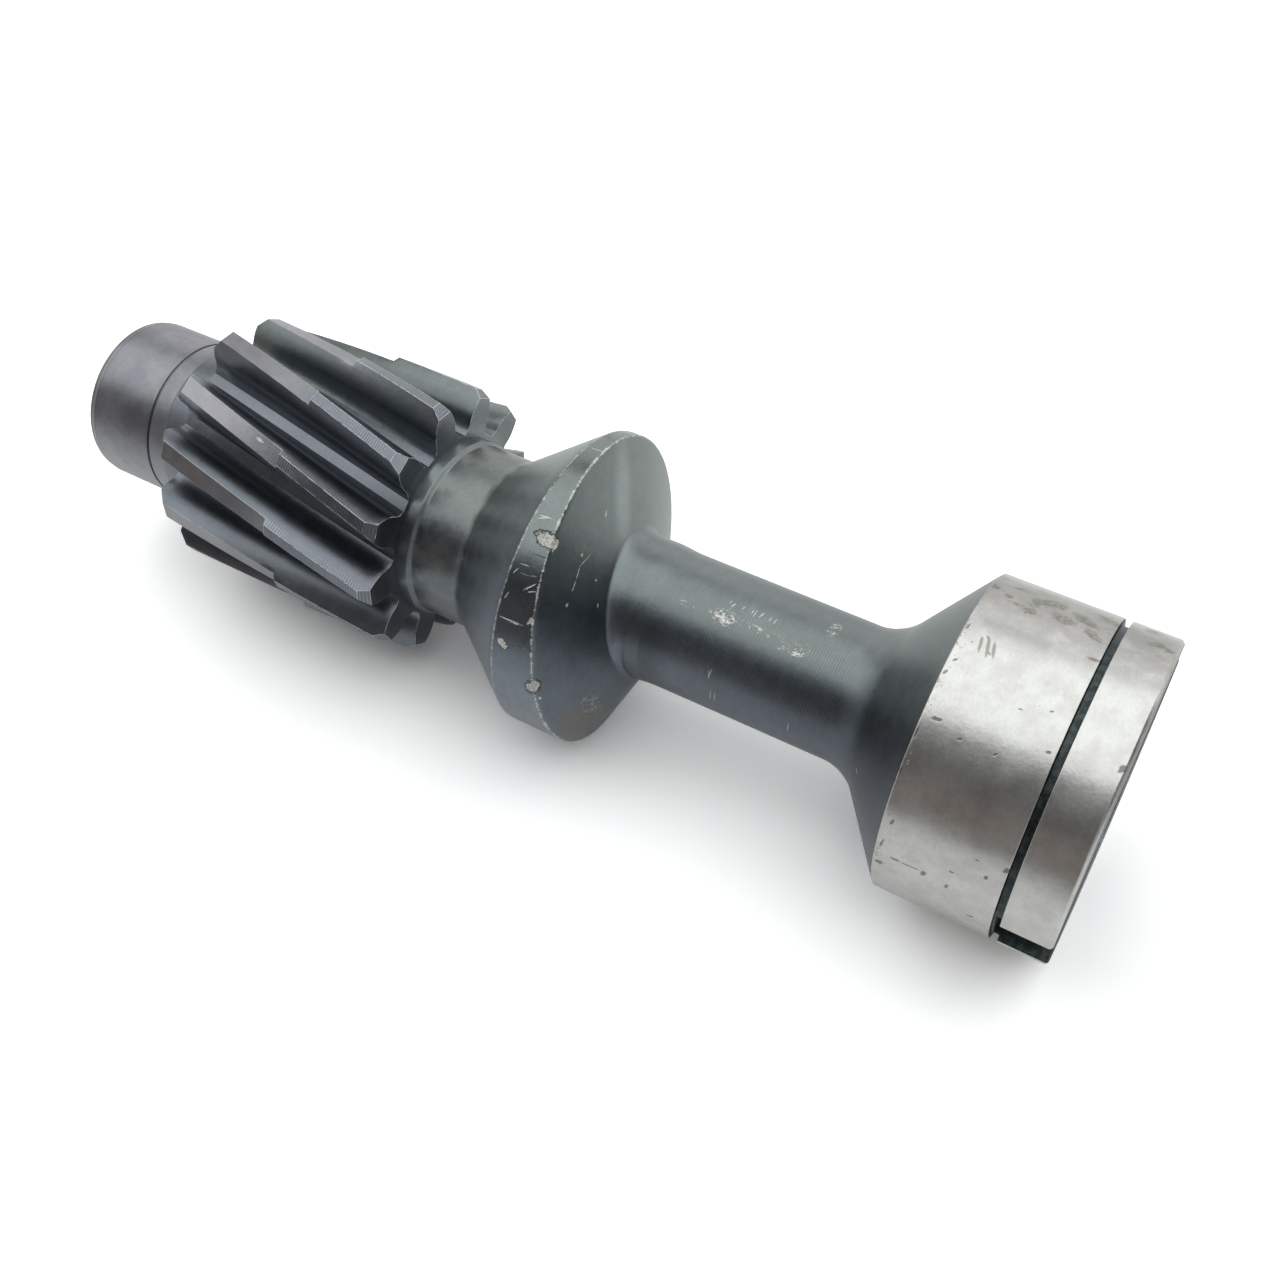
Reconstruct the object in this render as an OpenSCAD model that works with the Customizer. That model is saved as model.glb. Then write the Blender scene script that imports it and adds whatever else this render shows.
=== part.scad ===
// Distributor drive gear: one turned and hobbed steel shaft with a slotted drive head,
// an eccentric pump cam, a helical gear and a plain journal.
// Millimetres, +Z up along the axis. The slotted end face is at Z = 0, the journal points up
// and the drive slot runs along X.

/* [Drive head] */
// ground diameter of the drive head, the upper bearing of the shaft
head_d = 27; // [24.5:0.05:30]
// length of the head from the slotted face to the start of the flare
head_l = 14.3; // [12:0.1:18]
// chamfer round the slotted face
head_chamfer = 0.4; // [0.2:0.05:0.8]
// distance from the slotted face to the oil groove
groove_at = 4.05; // [3:0.05:6]
// width of the oil groove
groove_w = 0.65; // [0.4:0.05:1.5]
// depth of the oil groove
groove_depth = 0.6; // [0.3:0.05:1.2]
// width of the drive slot across the face
slot_w = 5; // [3.5:0.1:6]
// depth of the drive slot
slot_depth = 4.5; // [3:0.1:7]
// distance of the slot's centre line from the shaft axis
slot_offset = 1.2; // [0.5:0.1:2]
// diameter of the blind hole for the spring, in the middle of the face
spring_hole_d = 6.5; // [4:0.1:9]
// depth of the spring hole below the face, without its drill point
spring_hole_l = 13; // [9:0.5:20]

/* [Shank] */
// diameter of the slim shank
shank_d = 11.95; // [9.5:0.05:13]
// length from the flare's start to the point of the cam's cone
shank_l = 25; // [22:0.1:32]
// angle between the flare and the axis, in degrees
flare_angle = 52; // [45:1:60]
// radius where the flare runs into the shank
flare_fillet = 4; // [2:0.1:5]
// height of the step up to the short land left under the cam
land_step = 0.17; // [0.05:0.01:0.4]
// distance from the cone's point to that land
land_gap = 0.6; // [0.3:0.05:0.9]

/* [Pump cam] */
// diameter of the cam's rim
cam_d = 27.25; // [25.5:0.05:29]
// how far the cam's cone is off the shaft axis
cam_throw = 4.1; // [2:0.1:5]
// slope of the cam's face away from a square face, in degrees
cam_slope = 24.8; // [20:0.2:28]
// direction of the throw about the axis, in degrees
cam_angle = 160; // [0:1:360]
// height from the cone's point to the back edge of the rim
cam_back = 9.45; // [8.6:0.05:12]
// length of the cone behind the rim
back_cone_l = 7.5; // [5:0.05:9]

/* [Neck] */
// diameter of the neck between the cam and the gear
neck_d = 16.1; // [14:0.1:16.6]
// length of the neck up to the gear's face
neck_l = 6.2; // [5:0.05:10]
// height of the small shoulder against the gear
shoulder_step = 0.3; // [0.1:0.05:0.4]
// length of the small shoulder
shoulder_l = 1.45; // [1:0.05:2]

/* [Gear] */
// number of teeth
teeth = 12; // [10:1:14]
// pitch diameter
pitch_d = 21.5; // [21:0.1:22]
// pressure angle in the plane across the axis, in degrees
pressure_angle = 20; // [18:0.5:24]
// helix angle at the pitch diameter, in degrees
helix_angle = 12; // [5:0.5:20]
// angle by which each side of a tooth is thinned for backlash, in degrees
thinning = 0.25; // [0:0.05:0.6]
// face width of the gear
gear_l = 24.75; // [20:0.25:30]
// tip diameter on the half next to the neck
tip_d = 25.1; // [24.6:0.1:25.6]
// tip diameter on the half next to the journal
tip_small_d = 24.1; // [23.4:0.1:24.5]
// length of the larger half
tip_l = 11.25; // [8:0.25:16]
// height of the bevel on the tooth ends next to the neck
tip_bevel = 0.55; // [0.2:0.05:1]
// length of that bevel along the shaft
tip_bevel_l = 1; // [0.5:0.05:2]
// bevel on the tooth ends next to the journal
back_bevel = 0.9; // [0.3:0.05:1.5]
// root diameter
root_d = 17.4; // [17.2:0.1:18]
// angle by which each side of a tooth spreads into the root, in degrees
foot_spread = 3.6; // [2:0.2:5]
// turns the teeth about the axis, in degrees
tooth_phase = 0.2; // [0:0.1:30]

/* [Journal] */
// diameter of the plain journal
journal_d = 15.7; // [13:0.05:16.5]
// length of the plain journal
journal_l = 7.7; // [5:0.05:12]
// diameter of the tapered hub where it leaves the gear
hub_d = 16.7; // [16.2:0.1:17]
// length of the hub between the gear and the collar
hub_l = 2.8; // [1.5:0.1:5]
// height of the edge where the hub ends on the collar
hub_step = 0.12; // [0.05:0.01:0.3]
// length of the collar, ground to the journal's diameter
collar_l = 2.1; // [1.2:0.1:3]
// width of the thin relief groove between collar and journal
relief_w = 0.3; // [0.2:0.05:0.6]
// depth of that groove
relief_depth = 0.15; // [0.05:0.01:0.3]
// chamfer round the journal's end
journal_chamfer = 0.45; // [0.2:0.05:1]
// outer diameter of the centre hole in the journal's end
centre_d = 4.2; // [3:0.1:6]
// diameter of the centre hole's pilot
pilot_d = 2; // [1:0.1:2.5]
// depth of the centre hole with its pilot
centre_l = 4.5; // [3.5:0.1:7]

/* [Hidden] */

head_r = head_d / 2;
shank_r = shank_d / 2;
land_r = shank_r + land_step;
cam_r = cam_d / 2;
neck_r = neck_d / 2;
shoulder_r = neck_r + shoulder_step;
root_r = root_d / 2;
hub_r = hub_d / 2;
tip_r = tip_d / 2;
tip_small_r = tip_small_d / 2;
journal_r = journal_d / 2;
relief_r = journal_r - relief_depth;

// heights along the axis, each from the one before
cam_z = head_l + shank_l;
cam_back_z = cam_z + cam_back;
neck_z = cam_back_z + back_cone_l;
gear_z = neck_z + neck_l;
hub_z = gear_z + gear_l;
collar_z = hub_z + hub_l;
journal_z = collar_z + collar_l;
top_z = journal_z + journal_l;

// where the flare, its fillet and the shank meet
flare_corner_z = head_l + (head_r - shank_r) / tan(flare_angle);
flare_tangent = flare_fillet * tan(flare_angle / 2);
land_z = cam_z + land_gap;

// tooth form: half the tooth's angle at a radius, an involute above the base circle
pitch_r = pitch_d / 2;
base_r = pitch_r * cos(pressure_angle);
twist_all = tan(helix_angle) * gear_l / pitch_r * 180 / PI;
function involute(a) = (tan(a) - a * PI / 180) * 180 / PI;
function base_half() = 90 / teeth + involute(pressure_angle) - thinning;
function flank_half(r) = r > base_r
    ? base_half() - involute(acos(base_r / r))
    : base_half() + foot_spread * 12 / teeth * pow((base_r - r) / (base_r - root_r), 3);
flank_radii = concat(
    [for (i = [0 : 2]) root_r + i / 3 * (base_r - root_r)],
    [for (i = [0 : 4]) base_r * 1.001 + i / 4 * (tip_r - base_r)]
);
flank_n = len(flank_radii);
function polar(r, a) = [r * cos(a), r * sin(a)];
function tooth_points(k) = concat(
    [for (i = [0 : flank_n - 1]) polar(flank_radii[i], k * 360 / teeth - flank_half(flank_radii[i]))],
    [for (i = [flank_n - 1 : -1 : 0]) polar(flank_radii[i], k * 360 / teeth + flank_half(flank_radii[i]))]
);

// Drive head, flare, shank and the short land under the cam, up to inside the cam.
module lower_shaft() {
    rotate_extrude($fn = 96)
    polygon(concat(
        [[0, 0],
        [head_r - head_chamfer, 0],
        [head_r, head_chamfer],
        [head_r, groove_at],
        [head_r - groove_depth, groove_at],
        [head_r - groove_depth, groove_at + groove_w],
        [head_r, groove_at + groove_w],
        [head_r, head_l]],
        // the fillet at the foot of the flare, as short chords
        [for (i = [0 : 8])
            let (a = flare_angle * (1 - i / 8))
            [shank_r + flare_fillet * (1 - cos(a)),
            flare_corner_z + flare_tangent - flare_fillet * sin(a)]],
        [[shank_r, land_z],
        [land_r, land_z + 4 * land_step],
        [land_r, cam_back_z],
        [0, cam_back_z]]
    ));
}

// The cam: its rim and back cone are true to the shaft, its face is a cone off the axis.
module pump_cam() {
    intersection() {
        rotate_extrude($fn = 96)
        polygon([
            [0, cam_z - land_gap],
            [cam_r, cam_z - land_gap],
            [cam_r, cam_back_z],
            [neck_r, neck_z],
            [0, neck_z]
        ]);
        rotate(cam_angle)
        translate([cam_throw, 0, cam_z])
        cylinder(h = 2 * cam_back, r1 = 0, r2 = 2 * cam_back / tan(cam_slope), $fn = 96);
    }
}

// Neck with its shoulder, the core of the gear, the tapered hub, the collar and the journal.
module upper_shaft() {
    rotate_extrude($fn = 96)
    polygon([
        [0, neck_z - back_cone_l / 3],
        [neck_r, neck_z - back_cone_l / 3],
        [neck_r, gear_z - shoulder_l],
        [shoulder_r, gear_z - shoulder_l + shoulder_step],
        // inside the teeth the core stays below their root
        [shoulder_r, gear_z + gear_l / 3],
        [hub_r, hub_z - gear_l / 3],
        [hub_r, hub_z],
        [journal_r + hub_step, collar_z],
        [journal_r, collar_z + hub_step],
        [journal_r, journal_z - relief_w],
        [relief_r, journal_z - relief_w],
        [relief_r, journal_z],
        [journal_r, journal_z],
        [journal_r, top_z - journal_chamfer],
        [journal_r - journal_chamfer, top_z],
        [0, top_z]
    ]);
}

// The toothed rim: the twisted teeth trimmed to the turned blank, with its step and end bevels.
module gear_teeth() {
    intersection() {
        translate([0, 0, gear_z])
        rotate(tooth_phase)
        linear_extrude(height = gear_l, twist = -twist_all, slices = 17, convexity = 10)
        polygon([for (k = [0 : teeth - 1]) each tooth_points(k)]);
        rotate_extrude($fn = 96)
        polygon([
            [0, gear_z - tip_bevel_l],
            [tip_r - 2 * tip_bevel, gear_z - tip_bevel_l],
            [tip_r, gear_z + tip_bevel_l],
            [tip_r, gear_z + tip_l],
            [tip_small_r, gear_z + tip_l + (tip_r - tip_small_r) / 2],
            [tip_small_r, hub_z - back_bevel],
            [tip_small_r - 2 * back_bevel, hub_z + back_bevel],
            [0, hub_z + back_bevel]
        ]);
    }
}

// The drive slot's cutter, across the whole face and beside the axis.
module drive_slot() {
    translate([-head_d, -slot_offset - slot_w / 2, -slot_depth])
    cube([2 * head_d, slot_w, 2 * slot_depth]);
}

// The spring hole's cutter, with its drill point.
module spring_hole() {
    translate([0, 0, -slot_depth])
    cylinder(h = spring_hole_l + slot_depth, d = spring_hole_d, $fn = 48);
    translate([0, 0, spring_hole_l])
    cylinder(h = spring_hole_d / 2 / tan(59), d1 = spring_hole_d, d2 = 0, $fn = 48);
}

// The centre hole's cutter: a sixty degree cone down to its pilot.
module centre_hole() {
    cone_l = (centre_d - pilot_d) / 2 / tan(30);
    rotate_extrude($fn = 48)
    polygon([
        [0, top_z - centre_l],
        [pilot_d / 2, top_z - centre_l],
        [pilot_d / 2, top_z - cone_l],
        [centre_d / 2, top_z],
        [centre_d - pilot_d / 2, top_z + cone_l],
        [0, top_z + cone_l]
    ]);
}

module drive_gear_shaft() {
    color([0.30, 0.33, 0.36])
    difference() {
        union() {
            lower_shaft();
            pump_cam();
            upper_shaft();
            gear_teeth();
        }
        drive_slot();
        spring_hole();
        centre_hole();
    }
}

drive_gear_shaft();
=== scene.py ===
import bpy
import bmesh
from math import pi, sin, cos, tan, radians, degrees, acos, hypot
from mathutils import Matrix, Vector


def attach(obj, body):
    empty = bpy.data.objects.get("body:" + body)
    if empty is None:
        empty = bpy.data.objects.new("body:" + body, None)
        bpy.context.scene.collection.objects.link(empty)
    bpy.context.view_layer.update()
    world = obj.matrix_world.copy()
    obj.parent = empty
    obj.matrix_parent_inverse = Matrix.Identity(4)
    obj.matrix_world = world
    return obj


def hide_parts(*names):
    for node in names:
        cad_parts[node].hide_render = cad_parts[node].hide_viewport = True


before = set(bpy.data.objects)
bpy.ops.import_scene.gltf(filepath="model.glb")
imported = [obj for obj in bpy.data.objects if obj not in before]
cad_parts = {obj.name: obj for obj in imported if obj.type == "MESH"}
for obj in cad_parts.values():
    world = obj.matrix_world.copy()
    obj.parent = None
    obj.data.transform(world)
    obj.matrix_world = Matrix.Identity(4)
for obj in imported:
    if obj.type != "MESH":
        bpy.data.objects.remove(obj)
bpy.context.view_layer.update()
mm = 0.001

# finishes of the shaft, in the order of the mesh's material slots
finishes = ["blackFace", "groundSteel", "grooveBlack", "blackShank", "blackCam", "blackNeck", "blackGear",
            "wornEdge", "journalSteel"]


def ringMesh(name, bm):
    mesh = bpy.data.meshes.new(name)
    bm.to_mesh(mesh)
    bm.free()
    ob = bpy.data.objects.new(name, mesh)
    bpy.context.collection.objects.link(ob)
    return ob


def bakeModifiers(ob):
    graph = bpy.context.evaluated_depsgraph_get()
    mesh = bpy.data.meshes.new_from_object(ob.evaluated_get(graph))
    ob.modifiers.clear()
    ob.data = mesh


def cutWith(ob, cutter):
    cut = ob.modifiers.new("cut", "BOOLEAN")
    cut.operation = "DIFFERENCE"
    cut.solver = "EXACT"
    cut.object = cutter
    bakeModifiers(ob)
    bpy.data.objects.remove(cutter)


def profileWire(bm, corners):
    # corners are (radius, height, rounding) in mm; a larger rounding gets more steps
    verts = [bm.verts.new((r * mm, 0, z * mm)) for r, z, _ in corners]
    for pair in zip(verts, verts[1:]):
        bm.edges.new(pair)
    for vert, (r, z, rounding) in zip(verts, corners):
        if rounding:
            steps = 10 if rounding > 1 else 6 if rounding > 0.4 else 3
            bmesh.ops.bevel(bm, geom=[vert], affect="VERTICES", offset=rounding * mm,
                            segments=steps, profile=0.5, material=-1)


def spinClosed(bm, steps):
    bmesh.ops.spin(bm, geom=bm.verts[:] + bm.edges[:], cent=(0, 0, 0), axis=(0, 0, 1),
                   dvec=(0, 0, 0), angle=2 * pi, steps=steps, use_merge=True)
    bmesh.ops.remove_doubles(bm, verts=bm.verts, dist=2e-6)
    bmesh.ops.recalc_face_normals(bm, faces=bm.faces)


shaft = dict(
    headR=13.5, headLength=14.3, headChamfer=0.25, grooveAt=4.05, grooveWidth=0.65, grooveDepth=0.6,
    slotWidth=5.0, slotDepth=4.5, slotOffset=1.2, springR=3.25, springDepth=13.0,
    shankR=5.975, shankLength=25.0, flareAngle=52, flareFillet=4.0, landStep=0.17, landGap=0.6, landRamp=1.5,
    camR=13.625, camThrow=4.1, camSlope=24.8, camAngle=160, camBack=9.45, backCone=7.5,
    camFillet=1.5, neckR=8.05, neckLength=6.2, shoulderStep=0.3, shoulderLength=1.45,
    gearLength=24.75, hubR=8.35, hubLength=2.8, hubStep=0.12, collarLength=2.1,
    reliefWidth=0.3, reliefDepth=0.15, journalR=7.85, journalLength=7.7, journalChamfer=0.45,
    leadLength=0.95, leadDrop=0.13,
    centreR=2.1, pilotR=1.0, centreDepth=4.5, drillPoint=59, centreCone=30,
    slotEase=0.12, creaseAngle=30, faceSteps=14, steps=192)

s = shaft
camZ = s["headLength"] + s["shankLength"]
camBackZ = camZ + s["camBack"]
neckZ = camBackZ + s["backCone"]
gearZ = neckZ + s["neckLength"]
hubZ = gearZ + s["gearLength"]
collarZ = hubZ + s["hubLength"]
journalZ = collarZ + s["collarLength"]
topZ = journalZ + s["journalLength"]
landR = s["shankR"] + s["landStep"]
landTop = camZ + s["landGap"] + 4 * s["landStep"]
faceDrawn = camZ + 6   # height at which the cam face is drawn before it is laid on its cone


def camLift(x, y):
    # rise of the cam face over its tip, for a point in mm
    throw = radians(s["camAngle"])
    return tan(radians(s["camSlope"])) * hypot(x - s["camThrow"] * cos(throw), y - s["camThrow"] * sin(throw))


def turnShaft():
    flareEnd = s["headLength"] + (s["headR"] - s["shankR"]) / tan(radians(s["flareAngle"]))
    faceWidth = s["camR"] - landR
    facePoints = [(landR + faceWidth * i / s["faceSteps"], faceDrawn, 0) for i in range(1, s["faceSteps"])]
    lower = [
        (0, s["springDepth"] + s["springR"] / tan(radians(s["drillPoint"])), 0),
        (s["springR"], s["springDepth"], 0),
        (s["springR"], 0, 0.15),
        (s["headR"] - s["headChamfer"], 0, 0.04),
        (s["headR"], s["headChamfer"], 0.06),
        (s["headR"], s["grooveAt"], 0.07),
        (s["headR"] - s["grooveDepth"], s["grooveAt"], 0.12),
        (s["headR"] - s["grooveDepth"], s["grooveAt"] + s["grooveWidth"], 0.12),
        (s["headR"], s["grooveAt"] + s["grooveWidth"], 0.07),
        (s["headR"], s["headLength"], 0.08),
        (s["shankR"], flareEnd, s["flareFillet"] * tan(radians(s["flareAngle"] / 2))),
        (s["shankR"], landTop - s["landRamp"], 0.5),
        (landR, landTop, 0.5),
        (landR, faceDrawn, s["camFillet"]),
        *facePoints,
        (s["camR"], faceDrawn, 0.12),
        (s["camR"], camBackZ, 0.15),
        (s["neckR"], neckZ, 0.5),
        (s["neckR"], gearZ - s["shoulderLength"], 0.1),
        (s["neckR"] + s["shoulderStep"], gearZ - s["shoulderLength"] + s["shoulderStep"], 0.1),
        (s["neckR"] + s["shoulderStep"], gearZ, 0)]
    upper = [
        (s["hubR"], hubZ, 0),
        (s["journalR"] + s["hubStep"], collarZ, 0.05),
        (s["journalR"], collarZ + s["hubStep"], 0.05),
        (s["journalR"], journalZ - s["reliefWidth"], 0.03),
        (s["journalR"] - s["reliefDepth"], journalZ - s["reliefWidth"], 0.03),
        (s["journalR"] - s["reliefDepth"], journalZ, 0.03),
        (s["journalR"], journalZ, 0.03),
        (s["journalR"], topZ - s["leadLength"], 0.08),
        (s["journalR"] - s["leadDrop"], topZ - s["journalChamfer"] + s["leadDrop"], 0.08),
        (s["journalR"] - s["journalChamfer"], topZ, 0.08),
        (s["centreR"], topZ, 0.05),
        (s["pilotR"], topZ - (s["centreR"] - s["pilotR"]) / tan(radians(s["centreCone"])), 0),
        (s["pilotR"], topZ - s["centreDepth"], 0),
        (0, topZ - s["centreDepth"] - s["pilotR"] / tan(radians(s["drillPoint"])), 0)]
    bm = bmesh.new()
    onFace = bm.verts.layers.float.new("onFace")
    onLand = bm.verts.layers.float.new("onLand")
    # left open between the gear's two end faces, where the toothed rim goes in
    profileWire(bm, lower)
    profileWire(bm, upper)
    # the points that move with the cam face are marked before the profile is spun
    filletFoot = faceDrawn - s["camFillet"] - 0.01
    for v in bm.verts:
        r, z = v.co.x / mm, v.co.z / mm
        v[onFace] = 1.0 if r > landR - 0.001 and filletFoot < z < faceDrawn + 0.2 else 0.0
        v[onLand] = 1.0 if r < landR + 0.001 and camZ - 3 < z < landTop + 0.01 else 0.0
    spinClosed(bm, s["steps"])
    # the face, its fillet and the rim's front edge go down on to the off-centre cone
    for v in bm.verts:
        x, y, z = v.co / mm
        around = hypot(x, y)
        if v[onFace] > 0.5 or v[onLand] > 0.5:
            foot = camZ + camLift(x * landR / around, y * landR / around)
            top = min(landTop, foot - 0.25)
            if v[onFace] > 0.5:   # the fillet is squeezed where the face runs down to the land
                drop = faceDrawn - z
                if drop > 0:
                    drop *= min(1.0, (foot - top) / s["camFillet"])
                v.co.z = (camZ + camLift(x, y) - drop) * mm
            else:
                v.co.z = min(z, z + (top - landTop)) * mm
    print("turned shaft", len(bm.faces), "faces")
    return ringMesh("driveGearShaft", bm)


def slotCutter():
    # a long bar, widened a little where it leaves the head's skin and its end face
    bm = bmesh.new()
    middle, half = -s["slotOffset"], s["slotWidth"] / 2
    ease = s["slotEase"]
    outline = []
    for sideX, sideY in ((1, 1), (-1, 1), (-1, -1), (1, -1)):
        wallY = middle + sideY * half
        skinX = (s["headR"] ** 2 - wallY ** 2) ** 0.5
        corners = [(skinX - ease, wallY), (skinX + 2, wallY + sideY * (2 + ease))]
        outline += [(sideX * x, y) for x, y in (reversed(corners) if sideX * sideY > 0 else corners)]
    verts = [bm.verts.new((x * mm, y * mm, s["slotDepth"] * mm)) for x, y in outline]
    base = bm.faces.new(verts)
    for depth, wider in ((ease, 0), (-1, 1 + ease)):
        top = bmesh.ops.extrude_face_region(bm, geom=[base])["geom"]
        if depth < 0:
            bm.faces.remove(base)   # it would stay as a wall inside the bar
        base = next(e for e in top if isinstance(e, bmesh.types.BMFace))
        for v in base.verts:
            v.co.z = depth * mm
            v.co.y += wider * mm * (1 if v.co.y > middle * mm else -1)
    bmesh.ops.recalc_face_normals(bm, faces=bm.faces)
    return ringMesh("slotCutter", bm)


gear = dict(
    teeth=12, pitchR=10.75, pressureAngle=20, helixAngle=12, thinning=0.25, phase=0.2,
    rootR=8.7, footSpread=3.6, tipR=12.55, tipSmallR=12.05, tipLength=11.25, stepLength=0.25,
    tipBevel=0.55, tipBevelLength=1.0, backBevel=0.9, edgeBevel=0.11, sharpAngle=26, bevelFrom=0.35,
    stations=22)

g = gear
baseR = g["pitchR"] * cos(radians(g["pressureAngle"]))


def involute(angle):
    return degrees(tan(angle) - angle)


def flankHalf(r):
    # half the tooth's angle at a radius, in degrees
    half = 90 / g["teeth"] + involute(radians(g["pressureAngle"])) - g["thinning"]
    if r > baseR:
        return half - involute(acos(baseR / r))
    return half + g["footSpread"] * ((baseR - r) / (baseR - g["rootR"])) ** 3


def tipAt(z):
    # the blank's radius above the gear's face
    if z < g["tipBevelLength"]:
        return g["tipR"] - g["tipBevel"] * (1 - z / g["tipBevelLength"])
    if z < g["tipLength"]:
        return g["tipR"]
    if z < g["tipLength"] + g["stepLength"]:
        return g["tipR"] - (g["tipR"] - g["tipSmallR"]) * (z - g["tipLength"]) / g["stepLength"]
    return g["tipSmallR"] - max(0, z - s["gearLength"] + g["backBevel"])


def toothSide(tip):
    # radii up one flank: close together in the foot, then the involute
    foot = [g["rootR"] + (baseR - g["rootR"]) * t for t in (0, 0.06, 0.15, 0.28, 0.45, 0.7)]
    return foot + [baseR + (tip - baseR) * t for t in (0.02, 0.2, 0.4, 0.6, 0.8, 1.0)]


def ringPoints(z):
    turn = g["phase"] + degrees(tan(radians(g["helixAngle"])) * z / g["pitchR"])
    points = []
    for k in range(g["teeth"]):
        side = toothSide(tipAt(z))
        centre = k * 360 / g["teeth"] + turn
        for r, a in ([(r, centre - flankHalf(r)) for r in side] +
                     [(r, centre + flankHalf(r)) for r in reversed(side)] +
                     [(g["rootR"], centre + 180 / g["teeth"])]):
            points.append(Vector((r * cos(radians(a)), r * sin(radians(a)), gearZ + z)) * mm)
    return points


def cutTeeth():
    heights = sorted({0.0, g["tipBevelLength"], g["tipLength"], g["tipLength"] + g["stepLength"],
                      s["gearLength"] - g["backBevel"], s["gearLength"]})
    spacing = s["gearLength"] / g["stations"]
    heights += [z for z in (i * spacing for i in range(1, g["stations"]))
                if min(abs(z - h) for h in heights) > 0.4 * spacing]
    heights.sort()
    bm = bmesh.new()
    loop = [bm.verts.new(p) for p in ringPoints(0)]
    edges = [bm.edges.new((loop[i - 1], loop[i])) for i in range(len(loop))]
    perTooth = len(loop) // g["teeth"]
    loops = [loop]
    for z in heights[1:]:
        made = bmesh.ops.extrude_edge_only(bm, edges=edges)["geom"]
        edges = [e for e in made if isinstance(e, bmesh.types.BMEdge)]
        # each new vertex hangs on one edge from the loop before
        newLoop = []
        made = set(v for v in made if isinstance(v, bmesh.types.BMVert))
        for v in loops[-1]:
            newLoop.append(next(e.other_vert(v) for e in v.link_edges if e.other_vert(v) in made))
        for v, p in zip(newLoop, ringPoints(z)):
            v.co = p
        loops.append(newLoop)
    bm.faces.ensure_lookup_table()
    # each tooth's own end faces; the rings inside them are filled when it is joined
    ends = [bm.faces.new(ring[k * perTooth:(k + 1) * perTooth - 1])
            for ring in (loops[0], loops[-1]) for k in range(g["teeth"])]
    bmesh.ops.recalc_face_normals(bm, faces=bm.faces)
    # the sharp edges of the teeth get a thin worn bevel
    sharp = [e for e in bm.edges if len(e.link_faces) == 2 and e.calc_face_angle(0) > radians(g["sharpAngle"])
             and not all(f in ends for f in e.link_faces)
             and max(hypot(v.co.x, v.co.y) for v in e.verts) > (g["rootR"] + g["bevelFrom"]) * mm]
    made = bmesh.ops.bevel(bm, geom=sharp, affect="EDGES", offset=g["edgeBevel"] * mm, segments=2,
                           profile=0.5, material=-1, clamp_overlap=True)
    for f in made["faces"]:
        f.material_index = finishes.index("wornEdge")
    bmesh.ops.recalc_face_normals(bm, faces=bm.faces)
    print("toothed rim", len(bm.faces), "faces")
    return ringMesh("toothedRim", bm)


def finishOf(x, y, z):
    # a face's finish, from where its middle lies
    r = hypot(x, y)
    if 0.05 < z < s["slotDepth"] + 0.02 and abs(y + s["slotOffset"]) < s["slotWidth"] / 2 + 0.02:
        return "grooveBlack"
    skin = 0.09 if z > s["headChamfer"] else s["headChamfer"]
    if z < s["headLength"] + 0.05 and r > s["headR"] - skin:
        return "groundSteel"
    grooveMiddle = s["grooveAt"] + s["grooveWidth"] / 2
    if r > s["headR"] - s["grooveDepth"] - 0.1 and abs(z - grooveMiddle) < 0.5:
        return "grooveBlack"
    if z > collarZ - 0.02:
        return "journalSteel"
    if z > gearZ - 0.02:
        return "blackGear"
    if z > camBackZ + 0.3:
        return "blackNeck"
    if z > camZ - 0.05:
        return "blackCam"
    return "blackShank" if z > s["headLength"] and r > s["springR"] + 1 else "blackFace"


def joinTeeth(shaftOb, teethOb):
    # the rings between the shaft and the feet of the teeth are filled in both end faces
    bm = bmesh.new()
    bm.from_mesh(shaftOb.data)
    bm.from_mesh(teethOb.data)
    for z in (gearZ, hubZ):
        rims = [e for e in bm.edges if e.is_boundary and all(abs(v.co.z - z * mm) < 1e-6 for v in e.verts)]
        bmesh.ops.triangle_fill(bm, use_beauty=True, use_dissolve=False, edges=rims)
    bmesh.ops.recalc_face_normals(bm, faces=bm.faces)
    bm.to_mesh(shaftOb.data)
    bm.free()
    bpy.data.objects.remove(teethOb)


def makeShaft():
    shaftOb = turnShaft()
    teethOb = cutTeeth()
    for ob in (shaftOb, teethOb):
        for name in finishes:
            ob.data.materials.append(bpy.data.materials[name])
    joinTeeth(shaftOb, teethOb)
    cutWith(shaftOb, slotCutter())
    bm = bmesh.new()
    bm.from_mesh(shaftOb.data)
    bmesh.ops.remove_doubles(bm, verts=bm.verts, dist=1e-7)
    for f in bm.faces:
        f.smooth = True
        if f.material_index != finishes.index("wornEdge"):
            f.material_index = finishes.index(finishOf(*(f.calc_center_median() / mm)))
    print("shaft closed, open edges", sum(1 for e in bm.edges if len(e.link_faces) != 2))
    bm.to_mesh(shaftOb.data)
    bm.free()
    shaftOb.data.set_sharp_from_angle(angle=radians(s["creaseAngle"]))
    shade = shaftOb.modifiers.new("shade", "WEIGHTED_NORMAL")
    shade.keep_sharp = True
    bakeModifiers(shaftOb)
    print("shaft", len(shaftOb.data.polygons), "faces", len(shaftOb.data.vertices), "points")
    return shaftOb


def feed(tree, socket, value):
    if isinstance(value, bpy.types.NodeSocket):
        tree.links.new(value, socket)
    else:
        socket.default_value = value


def addNode(tree, kind, *feeds, **settings):
    # feeds go to the node's inputs in order; settings are its own values or named inputs
    node = tree.nodes.new("ShaderNode" + kind)
    for key, value in settings.items():
        if hasattr(node, key):
            setattr(node, key, value)
        else:
            node.inputs[key].default_value = value
    for socket, value in zip(node.inputs, feeds):
        feed(tree, socket, value)
    return node


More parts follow.
